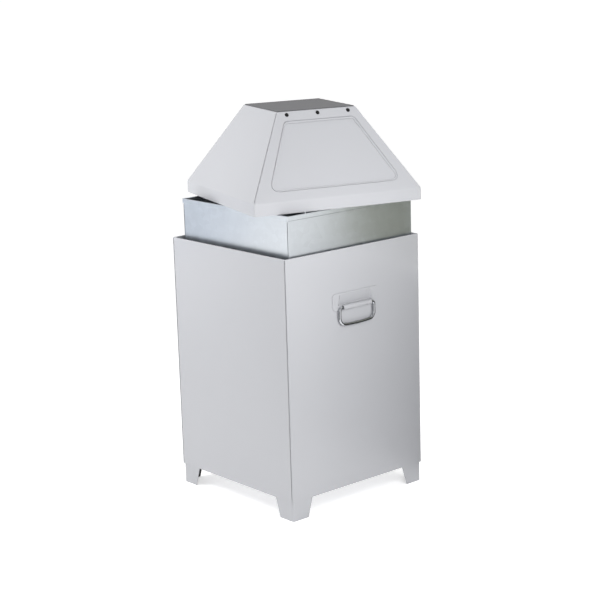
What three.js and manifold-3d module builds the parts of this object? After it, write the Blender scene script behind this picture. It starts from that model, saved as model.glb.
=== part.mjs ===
// A square oily waste can: a painted sheet-steel shell on four feet, a galvanised liner drawn part way
// out of it, and a pyramid hood with a self-closing flap that lies a little turned on the liner's rim.
// Millimetres, +Z up. The front, with the flap and a drop handle, faces -Y.
import * as THREE from "three";
import { mergeVertices } from "three/addons/utils/BufferGeometryUtils.js";
import Module from "manifold-3d";

const wasm = await Module();
wasm.setup();

// ---- Driving dimensions ----
const FIT = 0.3; // air between parts that touch
const SHEET = 1.2; // painted steel sheet

const SHELL = { half: 200, height: 548, hem: 12, hemThick: 3 };
const PAN = { half: 196.2, top: 23.2, flange: 12 }; // the shell's floor
const FOOT = { height: 45.5, tuck: 20, top: 59, bottom: 45, thick: 2 };

const LINER = { half: 184.8, height: 525, sheet: 0.9, hem: 10, hemThick: 2.4 };
const LINER_RIM = 638; // the raised rim, above the shell's lower edge
const LINER_SHIFT = { x: 5, y: -4.3 }; // how far off centre the loose liner stands

const HOOD = { half: 201.8, lip: 27, rise: 181, topHalf: 95.5, flange: 12 };
const HOOD_TURN = THREE.MathUtils.degToRad(-16.5);
const HOOD_SHIFT = { x: 16, y: -9 }; // how far off centre the hood lies
const TOP_PLATE = { half: 93.5, thick: 1.5 };

const OPENING = { margin: 27, lowHalf: 154.5, highHalf: 82, lowRound: 13, highRound: 8 };
const FLAP = { overlap: 9, recess: 1, round: 16, lip: 6, gap: 5 };
const HINGE = { half: 80, radius: 4, pin: 2, bore: 2.35, back: 5.5, knuckle: 30, spring: 19 };
const RIVET = { shank: 2, hole: 2.4, head: 4.1, dome: 1.7, tail: 3.2, below: 8, spread: 74.5 };

const HANDLE = { half: 69, low: 411, high: 449, round: 9, axis: 416.5 };
const BEAD = { half: 42, inner: 3.9, wall: 1.3 }; // the pressed bead that holds the bail
const TRAY = { lowHalf: 53, highHalf: 48, low: 421.5, high: 446, deep: 6 }; // sunk, deepest low down
const BAIL = { wire: 3.5, half: 51.5, out: 5.4, end: 26, bend: 6.5, corner: 15, low: 378, bow: 3 };

// ---- Materials ----
function finish(color, roughness, metalness) {
  return new THREE.MeshStandardMaterial({ color, roughness, metalness });
}
const greyPaint = () => finish(0xcbccd1, 0.5, 0.1);
const darkPaint = () => finish(0x8e8e92, 0.55, 0.1);
const galvanised = () => finish(0xbfc3c8, 0.4, 0.9);
const platedSteel = () => finish(0xb4b5b8, 0.35, 0.9);
const blackSteel = () => finish(0x1c1c1d, 0.5, 0.6);

// ---- Solids ----
function toSolid(geometry) {
  const bare = geometry.clone();
  for (const name of ["normal", "uv"]) bare.deleteAttribute(name);
  const merged = mergeVertices(bare, 1e-4);
  const vertProperties = new Float32Array(merged.attributes.position.array);
  const triVerts = new Uint32Array(merged.index.array);
  return new wasm.Manifold(new wasm.Mesh({ numProp: 3, vertProperties, triVerts }));
}

function toGeometry(solid) {
  const mesh = solid.getMesh();
  const geometry = new THREE.BufferGeometry();
  geometry.setAttribute("position", new THREE.BufferAttribute(mesh.vertProperties, 3));
  geometry.setIndex(new THREE.BufferAttribute(mesh.triVerts, 1));
  const facets = geometry.toNonIndexed();
  facets.computeVertexNormals();
  return facets;
}

function combine(how, first, others) {
  return toGeometry(others.reduce((sum, next) => sum[how](toSolid(next)), toSolid(first)));
}
const join = (first, ...others) => combine("add", first, others);
const cut = (first, ...others) => combine("subtract", first, others);
const common = (first, ...others) => combine("intersect", first, others);

// ---- Outlines ----
function polygon(points) {
  return new THREE.Shape(points.map(([x, y]) => new THREE.Vector2(x, y)));
}

// A closed outline of straight sides whose corners are rounded, each by its own radius.
function roundedPolygon(corners) {
  const shape = new THREE.Shape();
  corners.forEach(([x, y, radius], i) => {
    const corner = new THREE.Vector2(x, y);
    const before = corners[(i + corners.length - 1) % corners.length];
    const after = corners[(i + 1) % corners.length];
    const back = new THREE.Vector2(before[0], before[1]).sub(corner).normalize();
    const ahead = new THREE.Vector2(after[0], after[1]).sub(corner).normalize();
    const halfAngle = Math.acos(back.dot(ahead)) / 2;
    const reach = radius / Math.tan(halfAngle);
    const start = back.clone().multiplyScalar(reach).add(corner);
    const end = ahead.clone().multiplyScalar(reach).add(corner);
    const middle = back.clone().add(ahead).normalize();
    const centre = middle.multiplyScalar(radius / Math.sin(halfAngle)).add(corner);
    const from = Math.atan2(start.y - centre.y, start.x - centre.x);
    const to = Math.atan2(end.y - centre.y, end.x - centre.x);
    shape.absarc(centre.x, centre.y, radius, from, to, false);
  });
  shape.closePath();
  return shape;
}

function roundedBox(half, low, high, radius) {
  const corners = [[-half, low], [half, low], [half, high], [-half, high]];
  return roundedPolygon(corners.map(([x, y]) => [x, y, radius]));
}

// The section of a bent sheet: its outer face is a run of points, and the metal lies to their left.
function bentSheet(outer, thickness) {
  const points = outer.map(([x, y]) => new THREE.Vector2(x, y));
  const inner = points.map((point, i) => {
    const into = i > 0 ? point.clone().sub(points[i - 1]).normalize() : null;
    const away = i < points.length - 1 ? points[i + 1].clone().sub(point).normalize() : into;
    const first = into ?? away;
    const leftOf = (v) => new THREE.Vector2(-v.y, v.x);
    const middle = leftOf(first).add(leftOf(away)).normalize();
    return point.clone().addScaledVector(middle, thickness / middle.dot(leftOf(first)));
  });
  return new THREE.Shape([...points, ...inner.reverse()]);
}

function extrude(shape, depth, curveSegments = 8) {
  return new THREE.ExtrudeGeometry(shape, { depth, bevelEnabled: false, curveSegments });
}

// ---- Sheet panels that meet at mitred corners ----
// A section drawn as (distance out from the can's axis, height) runs along X on the front side.
function alongFront(section, halfLength) {
  const geometry = extrude(section, 2 * halfLength, 12).translate(0, 0, -halfLength);
  const axes = [new THREE.Vector3(0, -1, 0), new THREE.Vector3(0, 0, 1), new THREE.Vector3(-1, 0, 0)];
  return geometry.applyMatrix4(new THREE.Matrix4().makeBasis(...axes));
}

function mitredPanel(section, half) {
  const reach = half + 10;
  const gap = FIT * Math.SQRT1_2;
  const corners = [[0, -gap], [reach - gap, -reach], [gap - reach, -reach]];
  const wedge = extrude(polygon(corners), 2000).translate(0, 0, -1000);
  return common(alongFront(section, half), wedge);
}

const SIDES = { front: 0, right: 1, back: 2, left: 3 };
const quarter = (turns) => (turns * Math.PI) / 2;

function piece(name, geometry, material, turns = 0) {
  const mesh = new THREE.Mesh(geometry, material);
  mesh.name = name;
  mesh.rotation.z = quarter(turns);
  return mesh;
}

// ---- Shell: four hemmed walls, a floor pan and four bent feet ----
function makeShell() {
  const { half, height, hem, hemThick } = SHELL;
  const section = polygon([
    [half, 0],
    [half, height],
    [half - hemThick, height],
    [half - hemThick, height - hem],
    [half - SHEET, height - hem],
    [half - SHEET, 0],
  ]);
  const plain = mitredPanel(section, half);
  const window = new THREE.BoxGeometry(2 * TRAY.lowHalf + 6, 20, TRAY.high - TRAY.low + 3);
  const pierced = cut(plain, window.translate(0, -half, (TRAY.low + TRAY.high) / 2 - 1));
  const walls = Object.entries(SIDES).map(([side, turns]) => {
    const wall = turns % 2 === 0 ? pierced : plain; // the handles' trays sink into front and back
    return piece(`shell_wall_${side}`, wall.clone(), greyPaint(), turns);
  });
  return [...walls, makeFloor(), ...makeFeet()];
}

function makeFloor() {
  const size = 2 * PAN.half;
  const centre = PAN.top - PAN.flange / 2;
  const block = new THREE.BoxGeometry(size, size, PAN.flange).translate(0, 0, centre);
  const inside = new THREE.BoxGeometry(size - 2 * SHEET, size - 2 * SHEET, PAN.flange);
  return piece("shell_floor", cut(block, inside.translate(0, 0, centre - SHEET)), greyPaint());
}

// One arm of a foot lies along the front wall. The other is its mirror image along the left wall.
function footArm(mirror) {
  const edge = SHELL.half - SHEET - FIT;
  const outline = polygon(
    [
      [-edge, -FOOT.height],
      [FOOT.bottom - edge, -FOOT.height],
      [FOOT.top - edge, 0],
      [FOOT.top - edge, FOOT.tuck],
      [-edge, FOOT.tuck],
    ].map(([x, y]) => [mirror * x, y]),
  );
  return extrude(outline, FOOT.thick).rotateX(Math.PI / 2).translate(0, FOOT.thick - edge, 0);
}

function makeFeet() {
  const foot = join(footArm(1), footArm(-1).rotateZ(-quarter(1)));
  const corners = ["front_left", "front_right", "back_right", "back_left"];
  return corners.map((corner, i) => piece(`foot_${corner}`, foot.clone(), greyPaint(), i));
}

// ---- Liner: four hemmed walls and a floor ----
function makeLiner() {
  const { half, height, sheet, hem, hemThick } = LINER;
  const base = LINER_RIM - height;
  const hemOut = half - sheet + hemThick;
  const section = polygon([
    [half, base],
    [half, LINER_RIM - hem],
    [hemOut, LINER_RIM - hem],
    [hemOut, LINER_RIM],
    [half - sheet, LINER_RIM],
    [half - sheet, base],
  ]);
  const wall = mitredPanel(section, hemOut);
  const walls = Object.entries(SIDES).map(([side, turns]) =>
    piece(`liner_wall_${side}`, wall.clone(), galvanised(), turns),
  );
  const width = 2 * (half - sheet - FIT);
  const floor = new THREE.BoxGeometry(width, width, sheet).translate(0, 0, base + sheet / 2);
  const liner = new THREE.Group();
  liner.position.set(LINER_SHIFT.x, LINER_SHIFT.y, 0);
  return liner.add(...walls, piece("liner_floor", floor, galvanised()));
}

// ---- Hood: four folded panels and a top plate, in the hood's own frame (z = 0 at the lip) ----
const hoodTop = HOOD.lip + HOOD.rise;
const plateSeat = hoodTop - TOP_PLATE.thick - FIT;
const slopeIn = HOOD.half - HOOD.topHalf;
const slopeUp = plateSeat - HOOD.lip;
const slopeLength = Math.hypot(slopeIn, slopeUp);
const slopeAngle = Math.atan2(slopeIn, slopeUp); // from the vertical

// The front slope's frame: x along it, y up the slope from the lip's fold, z straight out of it.
function frontSlope() {
  const group = new THREE.Group();
  group.rotation.x = Math.PI / 2 - slopeAngle;
  group.position.set(0, -HOOD.half, HOOD.lip);
  group.updateMatrix();
  return group;
}

// The flap's opening, or an outline that stands outside it by a margin.
function slopeOutline(margin, high, lowRound, highRound) {
  const low = OPENING.margin;
  const top = slopeLength - OPENING.margin;
  const lean = (OPENING.lowHalf - OPENING.highHalf) / (top - low);
  const side = margin * Math.hypot(1, lean);
  const halfAt = (y) => OPENING.lowHalf - lean * (y - low) + side;
  const bottom = low - margin;
  return roundedPolygon([
    [-halfAt(bottom), bottom, lowRound],
    [halfAt(bottom), bottom, lowRound],
    [halfAt(high), high, highRound],
    [-halfAt(high), high, highRound],
  ]);
}

const rivetLine = slopeLength - RIVET.below;
const rivetPlaces = { left: -RIVET.spread, middle: 0, right: RIVET.spread };

function rivetHoles(depth) {
  return Object.values(rivetPlaces).map((x) =>
    new THREE.CylinderGeometry(RIVET.hole, RIVET.hole, depth, 16)
      .rotateX(Math.PI / 2)
      .translate(x, rivetLine, 0),
  );
}

function makeHoodPanels() {
  const { half, lip, topHalf, flange } = HOOD;
  const outer = [[half, 0], [half, lip], [topHalf, plateSeat], [topHalf - flange, plateSeat]];
  const panel = mitredPanel(bentSheet(outer, SHEET), half);
  const opening = slopeOutline(0, slopeLength - OPENING.margin, OPENING.lowRound, OPENING.highRound);
  const cutters = [extrude(opening, 20).translate(0, 0, -10), ...rivetHoles(12)];
  const slope = frontSlope().matrix;
  const front = cut(panel, ...cutters.map((cutter) => cutter.applyMatrix4(slope)));
  return Object.entries(SIDES).map(([side, turns]) =>
    piece(`hood_panel_${side}`, side === "front" ? front : panel.clone(), greyPaint(), turns),
  );
}

function makeTopPlate() {
  const { half, thick } = TOP_PLATE;
  const plate = new THREE.BoxGeometry(2 * half, 2 * half, thick);
  return piece("hood_top_plate", plate.translate(0, 0, hoodTop - thick / 2), darkPaint());
}

// ---- Flap and its hinge, in the front slope's frame ----
const leafBack = -SHEET - FIT; // the fixed leaf lies against the panel's inner face
const hingeLine = slopeLength - OPENING.margin + 10;
const flapFace = -SHEET - FLAP.recess;
const flapTop = hingeLine - FLAP.gap;

function cylinderAlongX(radius, from, to, sides) {
  return new THREE.CylinderGeometry(radius, radius, to - from, sides)
    .rotateZ(Math.PI / 2)
    .translate((from + to) / 2, hingeLine, -HINGE.back);
}

function slab(x0, x1, y0, y1, z0, z1) {
  const box = new THREE.BoxGeometry(x1 - x0, y1 - y0, z1 - z0);
  return box.translate((x0 + x1) / 2, (y0 + y1) / 2, (z0 + z1) / 2);
}

const fixedKnuckles = [[-HINGE.half, HINGE.knuckle - HINGE.half], [HINGE.half - HINGE.knuckle, HINGE.half]];
const innerEnd = HINGE.half - HINGE.knuckle - 2 * FIT;
const movingKnuckles = [[-innerEnd, -HINGE.spring - 1], [HINGE.spring + 1, innerEnd]];

function withKnuckles(leaf, spans) {
  const barrels = spans.map(([from, to]) => cylinderAlongX(HINGE.radius, from, to, 20));
  const bores = spans.map(([from, to]) => cylinderAlongX(HINGE.bore, from - 1, to + 1, 16));
  return cut(join(leaf, ...barrels), ...bores);
}

function makeFixedLeaf() {
  const top = rivetLine + RIVET.hole + 1.7;
  const leaf = slab(-HINGE.half, HINGE.half, hingeLine, top, leafBack - SHEET, leafBack);
  const middle = HINGE.half - HINGE.knuckle;
  const clear = slab(-middle, middle, hingeLine - 1, hingeLine + 5, leafBack - 5, leafBack + 1);
  const trimmed = cut(leaf, clear, ...rivetHoles(12));
  return piece("hinge_leaf_fixed", withKnuckles(trimmed, fixedKnuckles), platedSteel());
}

function makeMovingLeaf() {
  const face = flapFace - SHEET - FIT;
  const [left, right] = movingKnuckles;
  const sheet = slab(left[0], right[1], hingeLine - 30, hingeLine - 4.6, face - SHEET, face);
  const tabs = movingKnuckles.map(([from, to]) =>
    slab(from, to, hingeLine - 10, hingeLine - 3, face - SHEET, face),
  );
  return piece("hinge_leaf_moving", withKnuckles(join(sheet, ...tabs), movingKnuckles), platedSteel());
}

function makeFlap() {
  const plate = extrude(slopeOutline(FLAP.overlap, flapTop, FLAP.round, 4), SHEET);
  plate.translate(0, 0, flapFace - SHEET);
  const rim = extrude(slopeOutline(FLAP.overlap, flapTop, FLAP.round, 4), FLAP.lip);
  const core = extrude(slopeOutline(FLAP.overlap - SHEET, flapTop + 9, FLAP.round - SHEET, 4), 30);
  const lips = cut(rim.translate(0, 0, flapFace - FLAP.lip), core.translate(0, 0, -20));
  return piece("flap", join(plate, lips), greyPaint());
}

function makeHingePin() {
  const end = HINGE.half + 2;
  return piece("hinge_pin", cylinderAlongX(HINGE.pin, -end, end, 16), platedSteel());
}

function makeRivet(side, x) {
  const { shank, head, dome, tail } = RIVET;
  const under = leafBack - SHEET - FIT;
  const profile = [new THREE.Vector2(0, under - 1), new THREE.Vector2(tail, under - 1)];
  profile.push(new THREE.Vector2(tail, under), new THREE.Vector2(shank, under));
  profile.push(new THREE.Vector2(shank, FIT));
  const steps = 5;
  for (let i = 0; i <= steps; i++) {
    const angle = quarter(i / steps);
    profile.push(new THREE.Vector2(i < steps ? head * Math.cos(angle) : 0, FIT + dome * Math.sin(angle)));
  }
  const rivet = new THREE.LatheGeometry(profile, 16).rotateX(Math.PI / 2);
  return piece(`hinge_rivet_${side}`, rivet.translate(x, rivetLine, 0), blackSteel());
}

// A torsion spring round the pin. Its straight leg bears on the underside of the hood's top flange.
class SpringWire extends THREE.Curve {
  constructor(turns, coil, pitch, leg) {
    super();
    Object.assign(this, { turns, coil, pitch, leg });
    this.coilLength = turns * Math.hypot(2 * Math.PI * coil, pitch);
  }

  getPoint(t, target = new THREE.Vector3()) {
    const along = t * (this.coilLength + this.leg);
    const wound = Math.min(along / this.coilLength, 1) * this.turns;
    const angle = 2 * Math.PI * (wound - this.turns);
    const past = Math.max(along - this.coilLength, 0);
    const x = this.pitch * (wound - this.turns / 2);
    return target.set(x, this.coil * Math.sin(angle) + past, -this.coil * Math.cos(angle));
  }
}

function makeSpring() {
  const wire = 0.6;
  const path = new SpringWire(9, 3.3, 3.6, 15);
  const section = new THREE.Shape().absarc(0, 0, wire, 0, 2 * Math.PI, false);
  const options = { steps: 110, extrudePath: path, bevelEnabled: false, curveSegments: 3 };
  const spring = new THREE.ExtrudeGeometry(section, options);
  return piece("flap_spring", spring.translate(0, hingeLine, -HINGE.back), platedSteel());
}

function makeHood() {
  const hood = new THREE.Group();
  hood.position.set(HOOD_SHIFT.x, HOOD_SHIFT.y, LINER_RIM + 0.8);
  hood.rotation.z = HOOD_TURN;
  const slope = frontSlope();
  slope.add(makeFixedLeaf(), makeMovingLeaf(), makeFlap(), makeHingePin(), makeSpring());
  slope.add(...Object.entries(rivetPlaces).map(([side, x]) => makeRivet(side, x)));
  hood.add(...makeHoodPanels(), makeTopPlate(), slope);
  return hood;
}

// ---- Drop handles: a pressed plate whose bead holds the two ends of a wire bail ----
function onFrontWall(geometry, out) {
  return geometry.rotateX(Math.PI / 2).translate(0, -SHELL.half - out, 0);
}

// The hollow of the handle's tray, or with a skin the block of metal round it.
function trayBlock(front, skin) {
  const { lowHalf, highHalf, low, high, deep } = TRAY;
  const mouth = skin > 0 ? front : front + 1;
  const section = polygon([
    [mouth, low - skin],
    [mouth, high + skin],
    [front - skin, high + skin],
    [front - deep - skin, low - skin],
  ]);
  const outline = polygon([
    [-lowHalf - skin, low - skin],
    [lowHalf + skin, low - skin],
    [highHalf + skin, high + skin],
    [-highHalf - skin, high + skin],
  ]);
  return common(alongFront(section, lowHalf + skin), onFrontWall(extrude(outline, 20), -15));
}

function makeHandlePlate(side, turns) {
  const sheet = extrude(roundedBox(HANDLE.half, HANDLE.low, HANDLE.high, HANDLE.round), SHEET, 6);
  const plate = onFrontWall(sheet, FIT);
  const front = SHELL.half + FIT + SHEET;
  const centre = SHELL.half + BAIL.out;
  const bead = (radius, start) => {
    const section = new THREE.Shape();
    section.moveTo(start, HANDLE.axis - radius).lineTo(centre, HANDLE.axis - radius);
    section.absarc(centre, HANDLE.axis, radius, -Math.PI / 2, Math.PI / 2, false);
    section.lineTo(start, HANDLE.axis + radius);
    return section;
  };
  const shell = alongFront(bead(BEAD.inner + BEAD.wall, front - 0.5), BEAD.half);
  const hollow = alongFront(bead(BEAD.inner, front - 0.6), BEAD.half + 1);
  const pressed = cut(join(plate, trayBlock(front, SHEET)), trayBlock(front, 0));
  return piece(`handle_plate_${side}`, join(pressed, cut(shell, hollow)), greyPaint(), turns);
}

class WallPath extends THREE.Curve {
  constructor(outline, y) {
    super();
    this.outline = outline;
    this.y = y;
  }

  getPoint(t, target = new THREE.Vector3()) {
    const point = this.outline.getPoint(t);
    return target.set(point.x, this.y, point.y);
  }
}

function makeBail(side, turns) {
  const { wire, half, out, end, bend, corner, low, bow } = BAIL;
  const axis = HANDLE.axis;
  const line = new THREE.Path();
  line.moveTo(-end, axis).lineTo(bend - half, axis);
  line.absarc(bend - half, axis - bend, bend, Math.PI / 2, Math.PI, false);
  line.absarc(corner - half, low + corner, corner, Math.PI, 1.5 * Math.PI, false);
  line.quadraticCurveTo(0, low - bow, half - corner, low);
  line.absarc(half - corner, low + corner, corner, 1.5 * Math.PI, 2 * Math.PI, false);
  line.absarc(half - bend, axis - bend, bend, 0, Math.PI / 2, false);
  line.lineTo(end, axis);
  const section = new THREE.Shape().absarc(0, 0, wire, 0, 2 * Math.PI, false);
  const extrudePath = new WallPath(line, -SHELL.half - out);
  const options = { steps: 90, extrudePath, bevelEnabled: false, curveSegments: 5 };
  return piece(`bail_${side}`, new THREE.ExtrudeGeometry(section, options), platedSteel(), turns);
}

function makeHandles() {
  return [makeHandlePlate, makeBail].flatMap((make) => [make("front", 0), make("back", 2)]);
}

// ---- The whole can: the frame's origin is on the floor under the middle of the overall box ----
const can = new THREE.Group();
can.position.set(-HOOD_SHIFT.x, -HOOD_SHIFT.y, FOOT.height);
can.add(...makeShell(), ...makeHandles(), makeLiner(), makeHood());

const model = new THREE.Group();
model.add(can);

export default model;
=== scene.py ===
"""A square oily waste can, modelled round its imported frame: bent sheet steel, paint, zinc and wire."""

import math
from contextlib import contextmanager

import bmesh
import bpy
from bpy.props import FloatProperty, FloatVectorProperty, PointerProperty
from bpy.types import Operator, Panel, PropertyGroup
from mathutils import Matrix, Vector


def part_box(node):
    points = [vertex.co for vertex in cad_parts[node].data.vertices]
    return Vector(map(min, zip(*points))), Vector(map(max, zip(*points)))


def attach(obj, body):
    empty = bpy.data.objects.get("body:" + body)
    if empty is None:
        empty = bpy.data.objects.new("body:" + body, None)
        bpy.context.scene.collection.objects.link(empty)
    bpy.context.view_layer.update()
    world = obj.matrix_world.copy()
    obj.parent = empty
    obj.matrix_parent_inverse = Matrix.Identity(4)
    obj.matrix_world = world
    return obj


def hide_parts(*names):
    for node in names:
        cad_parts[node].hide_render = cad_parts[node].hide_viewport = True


bl_info = {
    "name": "Oily waste can",
    "version": (1, 0, 0),
    "blender": (4, 5, 0),
    "location": "3D View > Sidebar > Waste can",
    "description": "A sheet-steel oily waste can with a raised liner and a loose pyramid hood",
    "category": "Object",
}

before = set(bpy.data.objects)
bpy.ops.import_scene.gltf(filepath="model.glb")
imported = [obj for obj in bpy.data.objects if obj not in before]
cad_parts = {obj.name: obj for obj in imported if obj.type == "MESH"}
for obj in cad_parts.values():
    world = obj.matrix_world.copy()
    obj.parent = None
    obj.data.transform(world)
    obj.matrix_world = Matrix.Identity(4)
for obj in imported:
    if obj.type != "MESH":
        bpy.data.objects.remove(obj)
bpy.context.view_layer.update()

MM = 0.001
TINY = 0.02 * MM
SQRT2 = math.sqrt(2)
SIDES = ("front", "right", "back", "left")
CORNERS = ("front_left", "front_right", "back_right", "back_left")


def span(*nodes):
    """The lowest and highest corner of the box round some CAD nodes."""
    boxes = [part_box(node) for node in nodes]
    low = Vector(min(box[0][i] for box in boxes) for i in range(3))
    high = Vector(max(box[1][i] for box in boxes) for i in range(3))
    return low, high


SHELL_LOW, SHELL_HIGH = span(*(f"shell_wall_{side}" for side in SIDES))
LINER_LOW, LINER_HIGH = span(*(f"liner_wall_{side}" for side in SIDES))
HOOD_LOW, HOOD_HIGH = span(*(f"hood_panel_{side}" for side in SIDES))
PLATE_LOW, PLATE_HIGH = span("hood_top_plate")
LINER_AXIS = (LINER_LOW + LINER_HIGH) / 2
CAN_AXIS = (SHELL_LOW + SHELL_HIGH) / 2
HOOD_AXIS = (PLATE_LOW + PLATE_HIGH) / 2


# ---- Sizes and colours that a user would change ----
def length(name, description, size):
    return FloatProperty(name=name, description=description, default=size * MM, unit="LENGTH")


def angle(name, description, degrees):
    turn = math.radians(degrees)
    return FloatProperty(name=name, description=description, default=turn, subtype="ANGLE")


def linear(code):
    """A hex colour in sRGB as three linear numbers."""
    parts = [int(code[i : i + 2], 16) / 255 for i in (0, 2, 4)]
    return tuple(v / 12.92 if v <= 0.04045 else ((v + 0.055) / 1.055) ** 2.4 for v in parts)


def colour(name, description, code):
    settings = {"default": linear(code), "min": 0, "max": 1, "subtype": "COLOR"}
    return FloatVectorProperty(name=name, description=description, **settings)


class ShellSizes(PropertyGroup):
    sheet: length("Sheet", "Thickness of the painted sheet steel", 1.2)
    bend: length("Corner bend", "Outer radius of the folded corners", 1.6)
    hem: length("Hem", "How far the rim is turned down inside", 12)
    hem_thick: length("Hem thickness", "Thickness of the folded rim", 3)
    seam: length("Seam", "Width of the gap where two panels meet", 2)


class FootSizes(PropertyGroup):
    sheet: length("Sheet", "Thickness of a foot", 2)
    bend: length("Fold", "Outer radius of a foot's fold", 6)
    top: length("Width at the top", "Width of each arm where it leaves the shell", 59)
    bottom: length("Width at the floor", "Width of each arm at the floor", 45)
    tuck: length("Tuck", "How far a foot reaches up inside the shell", 20)
    set_in: length("Set in", "How far a foot stands behind the shell's outer face", 1.5)


class LinerSizes(PropertyGroup):
    sheet: length("Sheet", "Thickness of the galvanised sheet", 0.9)
    bend: length("Corner bend", "Outer radius of the folded corners", 1.2)
    hem: length("Hem", "Height of the folded rim", 10)
    seam: length("Seam", "Width of the gap along each corner seam", 1.8)
    hem_out: length("Hem stands out", "How far the rim stands out from the wall", 1.5)


class HoodSizes(PropertyGroup):
    sheet: length("Sheet", "Thickness of the painted sheet steel", 1.2)
    half: length("Half width", "Half the hood's width at its lip", 201.8)
    lip: length("Lip", "Height of the upright lip", 27)
    top_half: length("Half width at the top", "Half the hood's width under its top plate", 95.5)
    flange: length("Flange", "How far the top edge is turned in", 12)
    bend: length("Bend", "Outer radius of the folds", 2.4)
    flange_bend: length("Flange bend", "Outer radius of the fold at the top", 0.8)
    seam: length("Seam", "Width of the gap up each hip", 1.6)
    plate: length("Top plate", "Half the top plate's width", 93.5)
    plate_corner: length("Plate corners", "Radius of the top plate's corners", 3)
    turn: angle("Turn", "How far the loose hood lies turned on the liner", -16.5)


class FlapSizes(PropertyGroup):
    margin: length("Margin", "From the opening to the lip's fold and to the top", 27)
    low_half: length("Half width, low", "Half the opening's width at its lower edge", 154.5)
    high_half: length("Half width, high", "Half the opening's width at its upper edge", 82)
    low_round: length("Lower corners", "Radius of the opening's lower corners", 13)
    high_round: length("Upper corners", "Radius of the opening's upper corners", 8)
    roll: length("Rolled edge", "Width of the rounding along the opening's edge", 3)
    hem: length("Opening hem", "Width of the sheet folded back round the opening", 5.5)
    hem_thick: length("Hem thickness", "Thickness of the folded edge round the opening", 2.6)
    groove: length("Groove", "Width and depth of the groove outside the rolled edge", 1.7)
    overlap: length("Overlap", "How far the flap reaches behind the hood's face", 9)
    recess: length("Recess", "From the hood's inner face to the flap's face", 1.7)
    sheet: length("Sheet", "Thickness of the flap's sheet", 0.8)
    lip: length("Flap lip", "Depth of the flap's folded edge", 6)
    top_gap: length("Top gap", "From the flap's upper edge to the hinge line", 5)


class HingeSizes(PropertyGroup):
    line: length("Hinge line", "From the hinge line down to the opening's upper edge", 10)
    back: length("Depth", "How far the pin's axis lies behind the hood's face", 5.5)
    rivet: length("Rivet", "Radius of a rivet's head", 4.5)
    dome: length("Dome", "Height of a rivet's head", 1.7)
    shank: length("Shank", "Radius of a rivet's shank", 2)
    spread: length("Spread", "From the middle rivet to an outer one", 74.5)
    below: length("Below the fold", "From the top fold to the rivets", 8)
    coil: length("Coil", "Radius of the spring's coil", 3.3)
    wire: length("Spring wire", "Radius of the spring's wire", 0.6)


class HandleSizes(PropertyGroup):
    half: length("Half width", "Half the handle plate's width", 69)
    low: length("Lower edge", "Height of the plate's lower edge up the shell", 411)
    high: length("Upper edge", "Height of the plate's upper edge up the shell", 449)
    corner: length("Corners", "Radius of the plate's corners", 9)
    axis: length("Pivot height", "Height of the bail's pivot up the shell", 416.5)
    out: length("Pivot stand-off", "From the shell's wall to the bail's pivot", 5.4)
    tray_half: length("Tray half width", "Half the width of the sunk tray along its lower edge", 53)
    tray_high: length("Tray top", "Height of the tray's upper edge up the shell", 446)
    tray_low: length("Tray bottom", "Height of the tray's lower edge up the shell", 421.5)
    tray_deep: length("Tray depth", "Depth of the tray along its lower edge", 6)
    bead_half: length("Bead half length", "Half the length of the pressed bead", 42)
    bead: length("Bead", "Outer radius of the pressed bead", 5.2)
    bore: length("Bead bore", "Inner radius of the pressed bead", 3.9)
    wire: length("Wire", "Radius of the bail's wire", 3.5)
    bail_half: length("Bail half width", "From the bail's middle to its legs", 51.5)
    bail_end: length("Bail end", "From the bail's middle to its ends in the bead", 26)
    bail_drop: length("Bail drop", "From the pivot down to the grip's middle", 40)


class CanColours(PropertyGroup):
    paint: colour("Paint", "Light grey powder coat", "a9aaae")
    # The top plate's darker grey is painted shade, for a flat top that the light hardly reaches.
    plate: colour("Top plate", "Mid-grey paint of the top plate", "58585b")
    zinc: colour("Galvanising", "Hot-dip zinc on the liner", "e0e5ea")
    wire: colour("Wire", "Bright zinc plating", "b8babe")
    rivet: colour("Rivets", "Black rivet heads", "070708")
    floor: colour("Floor", "Pale studio floor", "f4f4f4")


class StageSettings(PropertyGroup):
    azimuth: angle("Azimuth", "Where the camera stands round the can", -40.601)
    elevation: angle("Elevation", "How high the camera stands", 13.012)
    roll: angle("Roll", "How far the camera is tipped", -1.725)
    distance: length("Distance", "From the camera to its target", 3833.8)
    aim_side: length("Aim sideways", "From the can's axis to the target, to the right", 6.55)
    aim_height: length("Aim height", "Height of the target above the floor", 441.2)
    lens: FloatProperty(name="Lens", description="Focal length in millimetres", default=99.37)


GROUPS = {
    "can_shell": ShellSizes,
    "can_foot": FootSizes,
    "can_liner": LinerSizes,
    "can_hood": HoodSizes,
    "can_flap": FlapSizes,
    "can_hinge": HingeSizes,
    "can_handle": HandleSizes,
    "can_colours": CanColours,
    "can_stage": StageSettings,
}


# ---- Modelling by hand, in code ----
def new_piece(name, add, **settings):
    """Adds a primitive with nothing else selected. Its place goes into its mesh."""
    bpy.ops.object.select_all(action="DESELECT")
    add(**settings)
    bpy.ops.object.transform_apply(location=True, rotation=True, scale=True)
    piece = bpy.context.object
    piece.name = piece.data.name = name
    return piece


def only(piece):
    bpy.ops.object.select_all(action="DESELECT")
    piece.select_set(True)
    bpy.context.view_layer.objects.active = piece


@contextmanager
def editing(piece):
    only(piece)
    bpy.ops.object.mode_set(mode="EDIT")
    bpy.ops.mesh.select_all(action="DESELECT")
    yield
    bpy.ops.object.mode_set(mode="OBJECT")


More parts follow.
